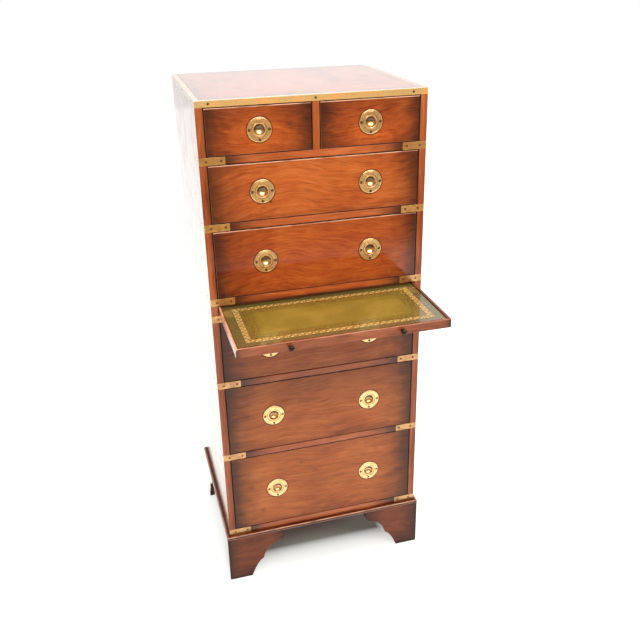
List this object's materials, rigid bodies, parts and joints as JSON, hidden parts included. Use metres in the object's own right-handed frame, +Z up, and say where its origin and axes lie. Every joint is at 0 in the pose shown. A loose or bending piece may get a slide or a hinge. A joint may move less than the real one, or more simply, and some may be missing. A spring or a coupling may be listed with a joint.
{
  "type": "campaign chest of drawers",
  "caption": "Tall narrow campaign chest with graduated drawers, a pull-out leather-lined brushing slide, brass-bound corners, flush ring handles and bracket feet.",
  "frame": {"origin": "on the floor, under the middle of the whole box, with the brushing slide drawn out as it is stored", "axes": "+Z up, -Y out of the drawer fronts, +X to the right as seen from the front"},
  "size_m": [0.5172, 0.643, 1.2215],
  "materials": {
    "show_wood": "polished",
    "dark_wood": "polished",
    "inner_wood": "plain",
    "brass": "polished",
    "aged_metal": "dark patina",
    "leather": "gold tooled"
  },
  "bodies": {
    "carcass": {"side_panel_left": "show_wood", "side_panel_right": "show_wood", "top_panel": "show_wood", "top_edging": "brass", "back_panel": "inner_wood", "centre_divider": "show_wood", "base_frame": "show_wood", "foot_front_left": "dark_wood", "foot_front_right": "dark_wood", "foot_back_left": "dark_wood", "foot_back_right": "dark_wood", "rail_under_row_6": "show_wood", "rail_under_row_5": "show_wood", "rail_under_row_4": "show_wood", "rail_under_slide": "show_wood", "rail_under_row_3": "show_wood", "rail_under_row_2": "show_wood", "rail_under_row_1": "show_wood"},
    "slide": {"slide_board": "show_wood", "slide_leather": "leather", "slide_knob_left": "aged_metal", "slide_knob_right": "aged_metal"},
    "drawer_1_left": {"drawer_1_left_front": "show_wood", "drawer_1_left_box": "inner_wood", "drawer_1_left_plate": "brass"},
    "drawer_1_left_ring": {"drawer_1_left_ring": "brass"},
    "drawer_1_right": {"drawer_1_right_front": "show_wood", "drawer_1_right_box": "inner_wood", "drawer_1_right_plate": "brass"},
    "drawer_1_right_ring": {"drawer_1_right_ring": "brass"},
    "drawer_2": {"drawer_2_front": "show_wood", "drawer_2_box": "inner_wood", "drawer_2_plate_left": "brass", "drawer_2_plate_right": "brass"},
    "drawer_2_ring_left": {"drawer_2_ring_left": "brass"},
    "drawer_2_ring_right": {"drawer_2_ring_right": "brass"},
    "drawer_3": {"drawer_3_front": "show_wood", "drawer_3_box": "inner_wood", "drawer_3_plate_left": "brass", "drawer_3_plate_right": "brass"},
    "drawer_3_ring_left": {"drawer_3_ring_left": "brass"},
    "drawer_3_ring_right": {"drawer_3_ring_right": "brass"},
    "drawer_4": {"drawer_4_front": "show_wood", "drawer_4_box": "inner_wood", "drawer_4_plate_left": "brass", "drawer_4_plate_right": "brass"},
    "drawer_4_ring_left": {"drawer_4_ring_left": "brass"},
    "drawer_4_ring_right": {"drawer_4_ring_right": "brass"},
    "drawer_5": {"drawer_5_front": "show_wood", "drawer_5_box": "inner_wood", "drawer_5_plate_left": "brass", "drawer_5_plate_right": "brass"},
    "drawer_5_ring_left": {"drawer_5_ring_left": "brass"},
    "drawer_5_ring_right": {"drawer_5_ring_right": "brass"},
    "drawer_6": {"drawer_6_front": "show_wood", "drawer_6_box": "inner_wood", "drawer_6_plate_left": "brass", "drawer_6_plate_right": "brass"},
    "drawer_6_ring_left": {"drawer_6_ring_left": "brass"},
    "drawer_6_ring_right": {"drawer_6_ring_right": "brass"}
  },
  "joints": [
    {"name": "slide_slide", "type": "slide", "parent": "carcass", "child": "slide", "axis": [0, -1, 0], "range_m": [-0.212, 0]},
    {"name": "drawer_1_left_slide", "type": "slide", "parent": "carcass", "child": "drawer_1_left", "axis": [0, -1, 0], "range_m": [0, 0.3]},
    {"name": "drawer_1_left_ring_hinge", "type": "hinge", "parent": "drawer_1_left", "child": "drawer_1_left_ring", "pos_m": [-0.121, -0.0929, 1.17888], "axis": [-1, 0, 0], "range_deg": [0, 90]},
    {"name": "drawer_1_right_slide", "type": "slide", "parent": "carcass", "child": "drawer_1_right", "axis": [0, -1, 0], "range_m": [0, 0.3]},
    {"name": "drawer_1_right_ring_hinge", "type": "hinge", "parent": "drawer_1_right", "child": "drawer_1_right_ring", "pos_m": [0.121, -0.0929, 1.17888], "axis": [-1, 0, 0], "range_deg": [0, 90]},
    {"name": "drawer_2_slide", "type": "slide", "parent": "carcass", "child": "drawer_2", "axis": [0, -1, 0], "range_m": [0, 0.3]},
    {"name": "drawer_2_ring_left_hinge", "type": "hinge", "parent": "drawer_2", "child": "drawer_2_ring_left", "pos_m": [-0.121, -0.0929, 1.04868], "axis": [-1, 0, 0], "range_deg": [0, 90]},
    {"name": "drawer_2_ring_right_hinge", "type": "hinge", "parent": "drawer_2", "child": "drawer_2_ring_right", "pos_m": [0.121, -0.0929, 1.04868], "axis": [-1, 0, 0], "range_deg": [0, 90]},
    {"name": "drawer_3_slide", "type": "slide", "parent": "carcass", "child": "drawer_3", "axis": [0, -1, 0], "range_m": [0, 0.3]},
    {"name": "drawer_3_ring_left_hinge", "type": "hinge", "parent": "drawer_3", "child": "drawer_3_ring_left", "pos_m": [-0.121, -0.0929, 0.89111], "axis": [-1, 0, 0], "range_deg": [0, 90]},
    {"name": "drawer_3_ring_right_hinge", "type": "hinge", "parent": "drawer_3", "child": "drawer_3_ring_right", "pos_m": [0.121, -0.0929, 0.89111], "axis": [-1, 0, 0], "range_deg": [0, 90]},
    {"name": "drawer_4_slide", "type": "slide", "parent": "carcass", "child": "drawer_4", "axis": [0, -1, 0], "range_m": [0, 0.3]},
    {"name": "drawer_4_ring_left_hinge", "type": "hinge", "parent": "drawer_4", "child": "drawer_4_ring_left", "pos_m": [-0.121, -0.0929, 0.67941], "axis": [-1, 0, 0], "range_deg": [0, 90]},
    {"name": "drawer_4_ring_right_hinge", "type": "hinge", "parent": "drawer_4", "child": "drawer_4_ring_right", "pos_m": [0.121, -0.0929, 0.67941], "axis": [-1, 0, 0], "range_deg": [0, 90]},
    {"name": "drawer_5_slide", "type": "slide", "parent": "carcass", "child": "drawer_5", "axis": [0, -1, 0], "range_m": [0, 0.3]},
    {"name": "drawer_5_ring_left_hinge", "type": "hinge", "parent": "drawer_5", "child": "drawer_5_ring_left", "pos_m": [-0.121, -0.0929, 0.49378], "axis": [-1, 0, 0], "range_deg": [0, 90]},
    {"name": "drawer_5_ring_right_hinge", "type": "hinge", "parent": "drawer_5", "child": "drawer_5_ring_right", "pos_m": [0.121, -0.0929, 0.49378], "axis": [-1, 0, 0], "range_deg": [0, 90]},
    {"name": "drawer_6_slide", "type": "slide", "parent": "carcass", "child": "drawer_6", "axis": [0, -1, 0], "range_m": [0, 0.3]},
    {"name": "drawer_6_ring_left_hinge", "type": "hinge", "parent": "drawer_6", "child": "drawer_6_ring_left", "pos_m": [-0.121, -0.0929, 0.28008], "axis": [-1, 0, 0], "range_deg": [0, 90]},
    {"name": "drawer_6_ring_right_hinge", "type": "hinge", "parent": "drawer_6", "child": "drawer_6_ring_right", "pos_m": [0.121, -0.0929, 0.28008], "axis": [-1, 0, 0], "range_deg": [0, 90]}
  ]
}
